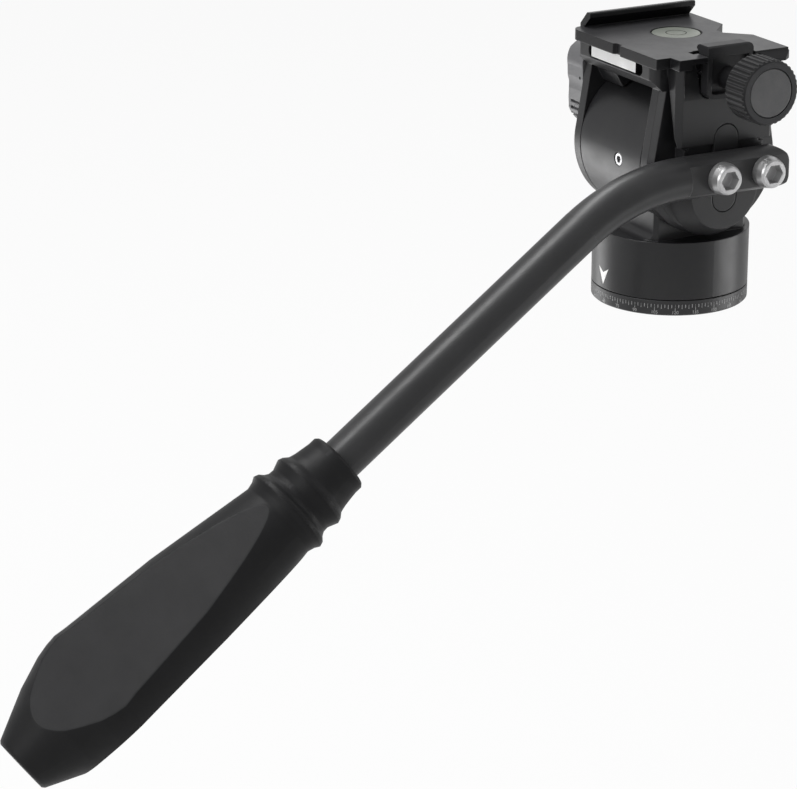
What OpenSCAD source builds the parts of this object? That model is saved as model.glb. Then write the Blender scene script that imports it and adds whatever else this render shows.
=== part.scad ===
// Fluid video head: pan base, tilt drum in a yoke, dovetail clamp and a bolted pan handle.
// Millimetres, +Z up. The origin is the centre of the base's underside, on the pan axis.
// X is the tilt axis and points to the handle's side. Y is the lens direction, away from the operator.

/* [Pan base] */
// Diameter of the base plate and of the pan housing
base_d = 45; // [44:0.5:52]
// Thickness of the graduated base plate
base_h = 4.4; // [3.8:0.1:6]
// Height of the pan housing up to its rim
pan_h = 16.7; // [16:0.1:20]
// Chamfer round the lower edge of the base plate
base_chamfer = 0.4; // [0.3:0.1:1.2]
// Tapping diameter of the 3/8 inch tripod thread
thread_d = 7.94; // [6:0.02:9.5]
// Depth of the tripod thread
thread_depth = 10; // [8:0.5:11]
// Diameter of the hub that the pan housing turns on
hub_d = 17; // [16:0.5:18]
// Thickness of each pan drag plate
drag_t = 1.6; // [1:0.1:2]
// Direction of the pan lock knob, in degrees from +X
pan_lock_angle = 165; // [120:5:200]
// Diameter of the pan lock knob
pan_knob_d = 14; // [12:0.5:15]

/* [Tilt drum] */
// Diameter of the drum and of the round cheeks
drum_d = 42.4; // [41:0.2:46]
// Width of the drum along the tilt axis
drum_w = 31.3; // [30:0.1:34]
// Height of the lowest point of the cheeks above the rim
cheek_lift = 1.4; // [1:0.1:3]
// Diameter of the tilt axle
axle_d = 10; // [8:0.5:12]
// Radius of the chamber in the drum
chamber_r = 14.5; // [13:0.25:15]

/* [Yoke] */
// Thickness of the left cheek
cheek_t = 3.2; // [2.6:0.1:4]
// Thickness of the right cheek's disc
flange_t = 5; // [4:0.1:6]
// Thickness of the block on the right cheek
block_t = 5.6; // [5:0.1:7]
// Half width of the block's outer face
block_hw = 14.6; // [13.6:0.1:16]
// Lean of the cheeks' front and back edges, in degrees
cheek_lean = 9.4; // [6:0.2:12]
// Height of the clamp plate's top above the drum
plate_lift = 11.6; // [11:0.1:15]

/* [Clamp plate] */
// Thickness of the clamp plate
plate_t = 3; // [2.9:0.1:4]
// Left edge of the plate
plate_left = -20.2; // [-22:0.1:-20]
// Reach of the plate past the movable jaw's root
plate_side = 3.8; // [3.6:0.1:6]
// Reach of the front lip past the drum
lip_overhang = 1.8; // [1.4:0.1:4]
// Back edge of the plate
plate_back = 17.4; // [16.6:0.1:20]
// Height of the dovetail jaws above the plate
jaw_h = 4.5; // [4.2:0.1:5.5]
// Root of the fixed jaw
fixed_root = -18; // [-18.4:0.1:-17]
// Closing travel of the movable jaw
jaw_travel = 3.2; // [2.4:0.1:4]
// Width of the dovetail plate that drops in between the open jaws
dovetail_w = 38; // [37:0.1:39]
// Depth of the undercut of each jaw
undercut = 2.9; // [2:0.1:3]
// Diameter of the spirit level
level_d = 14.7; // [12:0.1:16]

/* [Clamp knob] */
// Place of the clamp screw along Y
clamp_y = -1.3; // [-3:0.1:1]
// Drop of the clamp screw below the plate's top
clamp_drop = 6.85; // [6.6:0.05:7.5]
// Length of the movable jaw along Y
jaw_l = 14.9; // [12:0.1:16]
// Diameter of the clamp knob
knob_d = 18.2; // [16:0.2:20]
// Thickness of the clamp knob
knob_t = 9.3; // [8:0.1:12]
// Gap between the jaw's flange and the knob, bridged by the hub
knob_standoff = 10.3; // [9:0.1:14]
// Diameter of the clamp screw
screw_d = 5; // [4:0.2:5.4]
// Number of grip grooves round the knob
knob_grooves = 36; // [24:1:48]

/* [Tilt lock lever] */
// Place of the lever's pivot along Y
lever_y = -12; // [-12.6:0.1:-11]
// Distance of the lever's axis from the drum
lever_lift = 3.4; // [3.3:0.1:4.4]
// Thickness of the lever along X
lever_t = 8.4; // [6:0.1:10]
// Radius of the lever's hub
lever_hub_r = 6.7; // [5.5:0.1:7]
// Drop of the lever's rounded end below its pivot
lever_drop = 14; // [12:0.2:18]
// Radius of the lever's rounded end
lever_end_r = 4.5; // [3.5:0.1:5]

/* [Handle] */
// Diameter of the handle bar
bar_d = 12; // [10:0.2:13]
// Distance of the bar's axis from the middle of the head
bar_x = 31.5; // [31.3:0.1:34]
// Distance from the bar's axis to its milled flat
flat_off = 4.3; // [3.8:0.1:4.8]
// Distance between the two handle bolts
bolt_pitch = 14.6; // [13.5:0.1:16]
// Overhang of the bar past the tilt axis
bar_tail = 15.1; // [14.5:0.1:18]
// Start of the bend, in front of the tilt axis
bend_start = 17.8; // [17.5:0.1:24]
// Radius of the bend
bend_r = 55; // [40:1:70]
// Slope of the handle below level, in degrees
bar_slope = 35.8; // [25:0.1:45]
// Length of the straight bar between bend and grip
bar_run = 92; // [70:1:120]

/* [Grip] */
// Length of the grip
grip_l = 115.4; // [108:0.2:130]
// Radius of the grip's collar
collar_r = 9; // [8.2:0.1:9.5]
// Radius of the grip at its neck
neck_r = 11.3; // [10.4:0.1:11.6]
// Largest radius of the grip
grip_r = 18.6; // [17:0.1:20]
// Distance of the largest radius from the grip's front
grip_swell = 86; // [80:0.5:90]
// Radius of the grip's end
grip_end_r = 8.5; // [6:0.1:10]
// Distance of the three flats from the axis at the end
flat_far = 13.1; // [12.4:0.1:15]
// Turn of the flats about the grip's axis, in degrees
flat_turn = 56; // [30:1:90]

/* [Hidden] */
$fn = 96;

// Shared clearances: between bodies that move, inside one body, and in a running fit
gap = 0.3;
seat = 0.05;
run_fit = 0.04;
// Length by which a cutting tool passes the face that it cuts
over = 1;
// Small inset where a straight edge runs into a disc, or a bend into a straight bar
blend = 0.03;

// Pan base, from the ground up
base_r = base_d / 2;
hub_r = hub_d / 2;
housing_z = base_h + gap;
rim_z = housing_z + pan_h;
skirt_t = 2.6;
drag_r = base_r - skirt_t;
drag_top = base_h + 2 * drag_t + gap;
bush_t = 1.5;
bush_r = hub_r + run_fit + bush_t;
bush_lip = 1;
bush_lip_t = 1.2;
bush_top = rim_z - 3.9;
hub_top = bush_top + gap;
retainer_t = 1.5;
retainer_r = hub_r + 1.4;
well_r = bush_r + bush_lip + 0.4;
insert_r = thread_d / 2 + 2.4;
insert_h = thread_depth + 1;
m5_r = 2.5;
m5_head_r = 4.25;
m5_head_h = 2.6;
hex_m5 = 3;
retainer_screw_l = 5;

// Tilt axis and drum
drum_r = drum_d / 2;
tilt_z = rim_z + cheek_lift + drum_r;
drum_hw = drum_w / 2;
axle_r = axle_d / 2;
spigot_r = min(axle_r - 0.8, bolt_pitch / 2 - 3.8);
cheek_in = drum_hw + gap;
left_out = -cheek_in - cheek_t;
flange_out = cheek_in + flange_t;
block_out = flange_out + block_t;
cover_r = chamber_r + 4.1;
cover_t = 3.2;
cover_screw_r = 1.9;
cover_screw_ring = (chamber_r + cover_r) / 2;
cover_screw_l = 6;
tilt_bush_t = 1.8;
tilt_bush_r = axle_r + run_fit + tilt_bush_t;
chamber_left = -drum_hw + cover_t;
drag_disc_t = 2.4;
rotor_r = chamber_r - 1;

// Plate levels
plate_rise = drum_r + plate_lift;
plate_z = tilt_z + plate_rise;
plate_front = -drum_r - lip_overhang;
plate_under = plate_z - plate_t;
web_z = tilt_z + drum_r + 1;
clamp_z = plate_z - clamp_drop;
screw_r = screw_d / 2;

// Jaws: the movable jaw is drawn where the clamp stands open
jaw_top = plate_z + jaw_h;
jaw_tip = fixed_root + undercut + dovetail_w + 0.8;
jaw_under = 2.5;
jaw_root = jaw_tip + jaw_under;
plate_right = jaw_root + plate_side;
movable_h = jaw_h - 1.8;
jaw_lip_h = 1.4;
jaw_slope_z = jaw_h - undercut - jaw_lip_h;
jaw_corner = 2.4;
jaw_dish = 1.3;
flange_in = jaw_root;
flange_face = flange_in + 3.3;
flange_foot = clamp_z - 5.45;
jaw_dip = max(0, jaw_under - movable_h + 1.25);
// Width and depth of the shadow seams round let-in pieces
seam_w = 0.22;
seam_deep = 0.5;
channel_in = flange_in - jaw_dip - jaw_travel - gap;
pin_off = 4.6;
pin_r = 1.2;

// Handle
bar_r = bar_d / 2;
flat_x = bar_x + flat_off;
seat_x = bar_x - bar_r - seat;
bolt_r = 3;
bolt_head_r = 4.5;
bolt_head_h = 4.2;
hex_bolt = 5;
bolt_deep = 9;

// Draws a YZ outline about the tilt axis and extrudes it from x0 to x1
module along_x(x0, x1) {
    translate([x0, 0, tilt_z])
        rotate([90, 0, 90])
            linear_extrude(x1 - x0)
                children();
}

// Round bar along X, centred at y and z
module rod_x(x0, x1, r, y = 0, z = tilt_z) {
    translate([x0, y, z])
        rotate([0, 90, 0])
            cylinder(h = x1 - x0, r = r);
}

// Round bar along X that tapers from r0 to r1
module cone_x(x0, x1, r0, r1, y = 0, z = tilt_z) {
    translate([x0, y, z])
        rotate([0, 90, 0])
            cylinder(h = x1 - x0, r1 = r0, r2 = r1);
}

// Box from its lowest to its highest corner
module block(lo, hi) {
    translate(lo)
        cube(hi - lo);
}

// Six-sided socket, width w across its flats, sunk along -Z from the origin
module hex_socket(w, deep) {
    translate([0, 0, -deep])
        cylinder(h = deep + over, r = w / sqrt(3), $fn = 6);
}

// Disc of radius r and thickness t, with its edges broken by c
module broken_disc(r, t, c) {
    rotate_extrude()
        polygon([[0, 0], [r - c, 0], [r, c], [r, t - c], [r - c, t], [0, t]]);
}

// Knob of radius r and thickness t along +Z with n grip grooves round it
module grooved_knob(r, t, n, groove_r, c) {
    difference() {
        broken_disc(r, t, c);
        for (i = [0 : n - 1])
            rotate(i * 360 / n)
                translate([r + groove_r * 0.35, 0, -over])
                    cylinder(h = t + 2 * over, r = groove_r, $fn = 24);
    }
}

// Outline of a cheek: a disc that runs into two leaning edges
module cheek_outline() {
    circle(drum_r);
    cheek_sides();
}

module cheek_sides() {
    top = plate_under - tilt_z;
    touch_y = (drum_r - blend) * cos(cheek_lean);
    touch_z = (drum_r - blend) * sin(cheek_lean);
    top_y = touch_y - (top - touch_z) * tan(cheek_lean);
    polygon([[-touch_y, touch_z], [-top_y, top], [top_y, top], [touch_y, touch_z]]);
}

// Slot outline with round ends, from y0 to y1 along the first axis
module round_slot(y0, y1, r) {
    translate([y0 + r, -r])
        square([y1 - y0 - 2 * r, 2 * r]);
    for (y = [y0 + r, y1 - r])
        translate([y, 0])
            circle(r);
}

// Base plate with the hub that the pan housing turns on
module base_plate() {
    relief_in = insert_r + 3.5;
    relief_out = base_r - 4.5;
    relief_h = 0.6;
    color("#3a3a3c")
        difference() {
            union() {
                rotate_extrude()
                    polygon([[0, 0], [base_r - base_chamfer, 0], [base_r, base_chamfer],
                             [base_r, base_h], [0, base_h]]);
                cylinder(h = hub_top, r = hub_r);
            }
            translate([0, 0, -over])
                cylinder(h = insert_h + over, r = insert_r + seat);
            translate([0, 0, insert_h])
                cylinder(h = hub_top, r = m5_r + seat);
            translate([0, 0, -over])
                difference() {
                    cylinder(h = relief_h + over, r = relief_out);
                    cylinder(h = relief_h + over, r = relief_in);
                }
        }
}

// Steel bush with the tripod thread
module thread_insert() {
    color("#b8b8ba")
        difference() {
            cylinder(h = insert_h, r = insert_r);
            translate([0, 0, -over])
                cylinder(h = thread_depth + over, r = thread_d / 2);
        }
}

// Drag plate that is keyed to the base
module pan_drag_plate() {
    color("#c8c4b8")
        translate([0, 0, base_h])
            difference() {
                cylinder(h = drag_t, r = drag_r - 2 * gap);
                translate([0, 0, -over])
                    cylinder(h = drag_t + 2 * over, r = hub_r + seat);
            }
}

// Washer that holds the housing down on the hub
module pan_retainer() {
    color("#b0b0b2")
        translate([0, 0, hub_top])
            difference() {
                broken_disc(retainer_r, retainer_t, 0.3);
                translate([0, 0, -over])
                    cylinder(h = retainer_t + 2 * over, r = m5_r + seat);
            }
}

// Screw that clamps the retainer to the hub
module pan_retainer_screw() {
    color("#b0b0b2")
        translate([0, 0, hub_top + retainer_t])
            difference() {
                union() {
                    broken_disc(m5_head_r, m5_head_h, 0.4);
                    translate([0, 0, -retainer_t - retainer_screw_l])
                        cylinder(h = retainer_t + retainer_screw_l + over, r = m5_r);
                }
                translate([0, 0, m5_head_h])
                    hex_socket(hex_m5, m5_head_h * 0.6);
            }
}

// Moves a part from its own axis along X to the pan lock's place on the housing
module at_pan_lock() {
    translate([0, 0, (drag_top + bush_top - bush_lip_t) / 2])
        rotate(pan_lock_angle)
            children();
}

shoe_r = 2.8;
shoe_l = 3;
pan_stud_r = 2.4;
pan_stud_start = bush_r + seat + shoe_l;
pan_knob_start = base_r + gap + 1.2;
pan_knob_t = 9;

// Neck between housing and drum: a square block whose foot is filleted at the front and the back
neck_hw = base_r / sqrt(2) - 0.5;
neck_fillet = 2.2;
neck_corner = 1;

module neck_outline() {
    foot = rim_z - tilt_z;
    translate([-neck_hw, foot - over])
        square([2 * neck_hw, -foot + over]);
    difference() {
        translate([-neck_hw - neck_fillet, foot - over])
            square([2 * (neck_hw + neck_fillet), neck_fillet + over]);
        for (s = [-1, 1])
            translate([s * (neck_hw + neck_fillet), foot + neck_fillet])
                circle(neck_fillet);
    }
}

module neck_plan() {
    intersection() {
        circle(base_r - 1.3);
        rotate(45)
            square(sqrt(2) * (drum_hw + neck_hw - neck_corner), center = true);
    }
}

// Pan housing, its neck and the tilt drum in one casting
module pan_housing() {
    color("#2e2e30")
        difference() {
            union() {
                translate([0, 0, housing_z])
                    cylinder(h = pan_h, r = base_r);
                intersection() {
                    along_x(-drum_hw, drum_hw)
                        neck_outline();
                    linear_extrude(tilt_z)
                        neck_plan();
                }
                rod_x(-drum_hw, drum_hw, drum_r);
            }
            translate([0, 0, housing_z - over])
                cylinder(h = drag_top - housing_z + over, r = drag_r);
            cylinder(h = bush_top, r = bush_r + seat);
            translate([0, 0, bush_top - bush_lip_t])
                cylinder(h = tilt_z - bush_top, r = well_r);
            rod_x(chamber_left, drum_hw, chamber_r);
            rod_x(drum_hw - cover_t, drum_hw + over, cover_r + seat);
            rod_x(-drum_hw - over, 0, tilt_bush_r + seat);
            cover_screw_places(drum_hw - cover_t - cover_screw_l + over)
                cylinder(h = cover_screw_l + over, r = cover_screw_r / 2 + seat);
            at_pan_lock() {
                rod_x(bush_r - over, pan_stud_start + gap, shoe_r + seat, z = 0);
                rod_x(bush_r, base_r + over, pan_stud_r + run_fit, z = 0);
            }
            set_screw_hole();
        }
}

// Four places on the ring of cover screws, each with +Z out of the drum's right end
module cover_screw_places(x) {
    for (a = [45 : 90 : 315])
        translate([x, cover_screw_ring * cos(a), tilt_z + cover_screw_ring * sin(a)])
            rotate([0, 90, 0])
                children();
}

set_screw_x = 4.4;
set_screw_r = 1.9;
set_screw_l = 4.5;

// Hole for the drag screw in the front of the drum
module set_screw_hole() {
    translate([set_screw_x, -drum_r - over, tilt_z - 0.4])
        rotate([-90, 0, 0])
            cylinder(h = set_screw_l + 2 * over, r = set_screw_r + seat);
}

// Drag screw in the front of the drum
module drum_set_screw() {
    color("#d0d0d0")
        translate([set_screw_x, -drum_r + 0.15, tilt_z - 0.4])
            rotate([90, 0, 0])
                difference() {
                    translate([0, 0, -set_screw_l])
                        broken_disc(set_screw_r, set_screw_l, 0.2);
                    hex_socket(1.9, 2);
                }
}

// Drag ring that turns with the housing
module pan_drag_ring() {
    color("#8c7a4a")
        translate([0, 0, drag_top - drag_t])
            difference() {
                cylinder(h = drag_t, r = drag_r - seat);
                translate([0, 0, -over])
                    cylinder(h = drag_t + 2 * over, r = bush_r + seat);
            }
}

// Flanged bush between housing and hub
module pan_bush() {
    color("#b58a3c")
        difference() {
            union() {
                translate([0, 0, base_h + drag_t + gap])
                    cylinder(h = bush_top - base_h - drag_t - gap, r = bush_r);
                translate([0, 0, bush_top - bush_lip_t + seat])
                    cylinder(h = bush_lip_t - seat, r = bush_r + bush_lip);
            }
            cylinder(h = tilt_z, r = hub_r + run_fit);
        }
}

// Shoe that the pan lock presses on the bush
module pan_brake_shoe() {
    color("#8c7a4a")
        at_pan_lock()
            difference() {
                rod_x(bush_r - over, pan_stud_start, shoe_r, z = 0);
                translate([0, 0, -shoe_r - over])
                    cylinder(h = 2 * (shoe_r + over), r = bush_r + seat);
            }
}

// Stud of the pan lock
module pan_lock_stud() {
    color("#b8b8ba")
        at_pan_lock()
            rod_x(pan_stud_start + gap, pan_knob_start + pan_knob_t - 2, pan_stud_r, z = 0);
}

// Grooved knob of the pan lock
module pan_lock_knob() {
    neck_t = 1.6;
    color("#2a2a2c")
        at_pan_lock()
            translate([pan_knob_start, 0, 0])
                rotate([0, 90, 0])
                    difference() {
                        union() {
                            cylinder(h = neck_t + over, r = pan_knob_d / 2 - 2.4);
                            translate([0, 0, neck_t])
                                grooved_knob(pan_knob_d / 2, pan_knob_t - neck_t, 20, 0.7, 0.7);
                        }
                        translate([0, 0, -over])
                            cylinder(h = pan_knob_t - 2 + over, r = pan_stud_r + seat);
                    }
}

// Cover that closes the right end of the drum
module drum_cover() {
    color("#3a3a3c")
        difference() {
            rod_x(drum_hw - cover_t + seat, drum_hw, cover_r);
            rod_x(0, drum_hw + over, tilt_bush_r + seat);
            cover_screw_places(drum_hw - cover_t - over)
                cylinder(h = cover_t + 2 * over, r = cover_screw_r / 2 + seat);
            cover_screw_places(drum_hw - cover_t / 2)
                cylinder(h = cover_t, r = cover_screw_r + seat);
        }
}

// Screws of the drum cover
module drum_cover_screws() {
    color("#b0b0b2")
        cover_screw_places(drum_hw - cover_t / 2 + seat)
            difference() {
                union() {
                    cylinder(h = cover_t / 2 - gap, r = cover_screw_r);
                    translate([0, 0, over - cover_screw_l])
                        cylinder(h = cover_screw_l, r = cover_screw_r / 2);
                }
                translate([0, 0, cover_t / 2 - gap])
                    hex_socket(1.6, 0.7);
            }
}

// Plain bush for the tilt axle, between x0 and x1
module tilt_bush(x0, x1) {
    color("#b58a3c")
        difference() {
            rod_x(x0, x1, tilt_bush_r);
            rod_x(x0 - over, x1 + over, axle_r + run_fit);
        }
}

module tilt_bush_left() {
    tilt_bush(-drum_hw, chamber_left);
}

module tilt_bush_right() {
    tilt_bush(drum_hw - cover_t + seat, drum_hw);
}

// Drag discs: stator and rotor discs alternate along the axle
drag_disc_step = drag_disc_t + gap;
drag_disc_start = chamber_left + 2;

module drag_disc(i, r_in, r_out) {
    x = drag_disc_start + i * drag_disc_step;
    difference() {
        rod_x(x, x + drag_disc_t, r_out);
        rod_x(x - over, x + drag_disc_t + over, r_in);
    }
}

module tilt_drag_stators() {
    color("#c8c4b8")
        for (i = [0, 2, 4])
            drag_disc(i, axle_r + 1.2, chamber_r - seat);
}

module tilt_drag_rotors() {
    color("#8c7a4a")
        for (i = [1, 3, 5])
            drag_disc(i, axle_r + seat, rotor_r);
}

// Outline in YZ of the yoke's web: an upright face under the lip, then a face that slopes in
web_front = plate_front + 2.1;
web_face_h = 4.5;
web_foot = drum_r * cos(cheek_lean) - (web_z - tilt_z - drum_r * sin(cheek_lean)) * tan(cheek_lean);
web_back = drum_r * cos(cheek_lean) - (plate_under - tilt_z - drum_r * sin(cheek_lean)) * tan(cheek_lean);

module web_outline() {
    top = plate_under - tilt_z;
    foot = web_z - tilt_z;
    polygon([[-web_foot + over, top], [-web_foot + over, foot], [web_foot, foot], [web_back, top]]);
}

// Head of the yoke: the web's front, flared out under the lip across both cheeks
head_round = 2.4;

module head_outline() {
    top = plate_under - tilt_z;
    foot = web_z - tilt_z + blend;
    polygon([[web_front, top], [web_front, top - web_face_h], [-web_foot - blend, foot],
             [-web_foot + 3 * over, foot], [-web_foot + 3 * over, top]]);
}

module head_plan() {
    translate([left_out, web_front + head_round])
        square([flange_out - left_out, drum_r]);
    translate([left_out + head_round, web_front - over])
        square([flange_out - left_out - 2 * head_round, drum_r]);
    for (x = [left_out + head_round, flange_out - head_round])
        translate([x, web_front + head_round])
            circle(head_round);
}

module yoke_head() {
    intersection() {
        along_x(left_out, flange_out)
            head_outline();
        translate([0, 0, tilt_z])
            linear_extrude(plate_rise)
                head_plan();
    }
}

// Block on the right cheek: it carries the clamp above and the handle below
block_foot = tilt_z + bar_r + 0.9;
block_side = block_hw + 1.6;

module right_block() {
    translate([0, 0, block_foot])
        linear_extrude(plate_under - block_foot)
            polygon([[cheek_in, -block_side], [block_out - 1.6, -block_side], [block_out, -block_hw],
                     [block_out, block_hw], [block_out - 1.6, block_side], [cheek_in, block_side]]);
    block([cheek_in, -block_hw + 1.6, tilt_z - bar_r - 1], [seat_x, block_hw - 1.6, block_foot + over]);
    boss_z = tilt_z - 7;
    boss_r = 11;
    cone_x(flange_out, block_out, boss_r + 3.3, boss_r, z = boss_z);
    rod_x(cheek_in, flange_out, boss_r + 3.3, z = boss_z);
}

// Wedge-shaped recess beside the block, s is -1 in front and 1 behind
module block_recess(s) {
    top = plate_under - 3;
    deep = 4.6;
    edge = block_out - 0.9;
    rise = (edge - flange_out) / (top - block_foot);
    translate([0, s * (block_side - deep / 2), 0])
        rotate([90, 0, 0])
            translate([0, 0, -deep / 2 - over * (s > 0 ? 1 : 0)])
                linear_extrude(deep + over)
                    polygon([[flange_out, top], [flange_out, block_foot - over],
                             [edge + rise * over, block_foot - over]]);
}

// Room for the movable jaw, with round lower corners
module jaw_channel() {
    corner = jaw_corner + gap;
    y0 = clamp_y - jaw_l / 2 - gap;
    y1 = clamp_y + jaw_l / 2 + gap;
    foot = flange_foot - gap - tilt_z;
    top = plate_z + over - tilt_z;
    along_x(channel_in, plate_right + over)
        union() {
            translate([y0, foot + corner])
                square([y1 - y0, top - foot - corner]);
            translate([y0 + corner, foot])
                square([y1 - y0 - 2 * corner, corner + over]);
            for (y = [y0 + corner, y1 - corner])
                translate([y, foot + corner])
                    circle(corner);
        }
}

// Undercut below the plate's right edge: it sweeps out to the block's face in one arc
sweep_h = 11;
sweep_in = flange_out + 1.4;
sweep_start = 3;
sweep_end = 2 * atan2(block_out - sweep_in, sweep_h) - sweep_start;
sweep_r = norm([block_out - sweep_in, sweep_h]) / (2 * sin((sweep_end - sweep_start) / 2));

module side_undercut() {
    y0 = -block_hw + 0.4;
    y1 = clamp_y + jaw_l / 2 + 3;
    top = plate_z - 1.5;
    translate([0, y0, 0])
        rotate([90, 0, 0])
            translate([0, 0, y0 - y1])
                linear_extrude(y1 - y0)
                    difference() {
                        translate([sweep_in, top - sweep_h - over])
                            square([plate_right + over - sweep_in, sweep_h + over]);
                        translate([block_out - sweep_r * cos(sweep_start), top - sweep_h - sweep_r * sin(sweep_start)])
                            circle(sweep_r, $fn = 360);
                    }
}

// Lock boss under the web: it holds the cam and the brake shoe over the drum
cam_r = 1.5;
cam_reach = drum_r + lever_lift;
lever_rise = sqrt(cam_reach * cam_reach - lever_y * lever_y);
lever_z = tilt_z + lever_rise;
cam_angle = atan2(lever_rise, lever_y);
shoe_in = drum_r + gap;
shoe_out = cam_reach - cam_r - seat;
shoe_half_w = 2.2;
shoe_x0 = -cheek_in + 2;
shoe_x1 = shoe_x0 + 6;
boss_x1 = shoe_x1 + 2.4;

module lock_boss() {
    intersection() {
        along_x(-cheek_in - over, boss_x1)
            difference() {
                rotate(cam_angle - 90)
                    translate([-shoe_half_w - 1.3, drum_r + 0.8])
                        square([2 * shoe_half_w + 2.6, drum_r]);
                circle(drum_r + 0.8);
            }
        block([-cheek_in - over, -base_r, tilt_z], [boss_x1, base_r, web_z + over]);
    }
}

module shoe_shape(x0, x1, r0, r1, half_w) {
    along_x(x0, x1)
        intersection() {
            difference() {
                circle(r1);
                circle(r0);
            }
            rotate(cam_angle - 90)
                translate([-half_w, 0])
                    square([2 * half_w, 2 * drum_r]);
        }
}

// Pale strip under the lip and the longer slot that it sits in
strip_h = 3.4;
strip_mid = plate_under - 2.25;
strip_x0 = -11.6;
strip_x1 = 11.5;
slot_x1 = 15.4;
slot_deep = 3;

// Right cheek: its outer edge is chamfered round the disc and along both leaning edges
edge_in = 1.2;
edge_x = flange_out - 1.8;

module right_cheek() {
    rod_x(cheek_in, edge_x, drum_r);
    cone_x(edge_x, flange_out, drum_r, drum_r - edge_in);
    difference() {
        along_x(cheek_in, flange_out)
            cheek_sides();
        for (s = [0, 1])
            mirror([0, s, 0])
                translate([edge_x, 0, tilt_z])
                    rotate([cheek_lean, 0, 0])
                        translate([0, drum_r - blend, -over])
                            rotate(-atan2(edge_in, flange_out - edge_x))
                                block([-over, 0, 0], [2 * flange_t, 2 * flange_t, 2 * drum_r]);
    }
}

// Yoke: two cheeks, the web that joins them and the block that carries clamp and handle
module tilt_yoke() {
    color("#2e2e30")
        difference() {
            union() {
                along_x(left_out, -cheek_in)
                    cheek_outline();
                right_cheek();
                along_x(-cheek_in, cheek_in)
                    web_outline();
                yoke_head();
                right_block();
                lock_boss();
            }
            block_recess(-1);
            block_recess(1);
            // Axle and bush room
            rod_x(left_out - over, -cheek_in + over, axle_r + seat);
            rod_x(cheek_in - over, flange_out + 0.5, spigot_r + seat);
            // Clamp screw, guide pins and the jaw's channel
            jaw_channel();
            side_undercut();
            rod_x(clamp_tip - jaw_travel - gap, block_out, screw_r + run_fit, clamp_y, clamp_z);
            for (s = [-1, 1])
                rod_x(pin_tip - jaw_travel - gap, block_out, pin_r + run_fit, clamp_y + s * pin_off, clamp_z);
            // Handle saddle and bolts
            along_x(saddle_x, block_out + over)
                saddle_outline(saddle_r + seat, saddle_h + seat);
            along_x(block_out - seam_deep, block_out + over)
                saddle_outline(saddle_r + seam_w, saddle_h + seam_w);
            rod_y(-block_side - over, block_side + over, bar_r + seat);
            for (s = [-1, 1])
                rod_x(flat_x - bar_l_through - bolt_deep, flat_x, bolt_r + seat, s * bolt_pitch / 2);
            // Slot for the strip
            translate([0, web_front + slot_deep, strip_mid])
                rotate([90, 0, 0])
                    linear_extrude(slot_deep + over)
                        round_slot(strip_x0 - 1.2, slot_x1, strip_h / 2 + 0.3);
            // Lock cam and brake shoe
            rod_x(left_out - over, boss_x1 - 1.5, cam_r + run_fit, lever_y, lever_z);
            shoe_shape(shoe_x0 - gap, shoe_x1 + gap, 0, shoe_out + 0.2, shoe_half_w + gap);
            // Pockets that lighten the web from below
            for (y = [[-web_foot + 2.4, lever_y - shoe_half_w - 3], [clamp_y + pin_off + 3, web_foot - 2.6]])
                if (y[1] > y[0])
                    block([-cheek_in + 2.5, y[0], web_z - over], [cheek_in - 2.5, y[1], plate_under - plate_screw_grip]);
            plate_screw_places()
                plate_screw_hole();
        }
}

// Four places for the screws that hold the plate, driven from below the web
plate_screw_at = [[8, -12.6], [-11.5, -1.5], [-11, 10.6], [11, 10.6]];
plate_screw_r = 1.5;
plate_screw_head_r = 2.6;
plate_screw_head_h = 2;
plate_screw_bite = plate_t - 1;
plate_screw_grip = 2.4;

module plate_screw_places() {
    for (p = plate_screw_at)
        translate([p[0], p[1], plate_under])
            children();
}

module plate_screw_hole() {
    translate([0, 0, -plate_t - over])
        cylinder(h = plate_t + 2 * over, r = plate_screw_r + seat);
    translate([0, 0, -plate_rise])
        cylinder(h = plate_rise - plate_screw_grip, r = plate_screw_head_r + seat);
}

module plate_screws() {
    color("#b0b0b2")
        plate_screw_places()
            difference() {
                union() {
                    translate([0, 0, -plate_screw_grip - over])
                        cylinder(h = plate_screw_grip + over + plate_screw_bite - seat, r = plate_screw_r);
                    translate([0, 0, -plate_screw_grip - seat - plate_screw_head_h])
                        cylinder(h = plate_screw_head_h, r = plate_screw_head_r);
                }
                translate([0, 0, -plate_screw_grip - seat - plate_screw_head_h])
                    mirror([0, 0, 1])
                        hex_socket(2, 1.2);
            }
}

// Plan outline of the clamp plate
notch_mid = (plate_left + plate_right) / 2 + 0.2;
notch_hw = 7.6;
notch_deep = 6;
lip_right = plate_right - 4.4;
lip_left = plate_left + 0.8;
lip_back = -18.4;
lip_round = 3.6;
nose_out = 2.5;
nose_start = clamp_y + jaw_l / 2 + 1.2;
index_hw = 2.4;
index_deep = 1;

module plate_outline() {
    difference() {
        union() {
            polygon([[plate_left, lip_back + 1.4], [plate_left + 1.1, lip_back], [plate_right, lip_back],
                     [plate_right, plate_back], [plate_left, plate_back]]);
            translate([lip_left + lip_round, plate_front])
                square([lip_right - lip_left - lip_round, lip_back - plate_front + over]);
            translate([lip_left + lip_round, plate_front + lip_round])
                circle(lip_round);
        }
        polygon([[notch_mid - notch_hw, plate_back], [notch_mid - notch_hw, plate_back + over],
                 [notch_mid + notch_hw, plate_back + over], [notch_mid + notch_hw, plate_back],
                 [notch_mid + notch_hw - notch_deep, plate_back - notch_deep],
                 [notch_mid - notch_hw + notch_deep, plate_back - notch_deep]]);
        polygon([[notch_mid - index_hw, plate_front - over], [notch_mid + index_hw, plate_front - over],
                 [notch_mid + index_hw - index_deep, plate_front + index_deep],
                 [notch_mid - index_hw + index_deep, plate_front + index_deep]]);
    }
}

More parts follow.
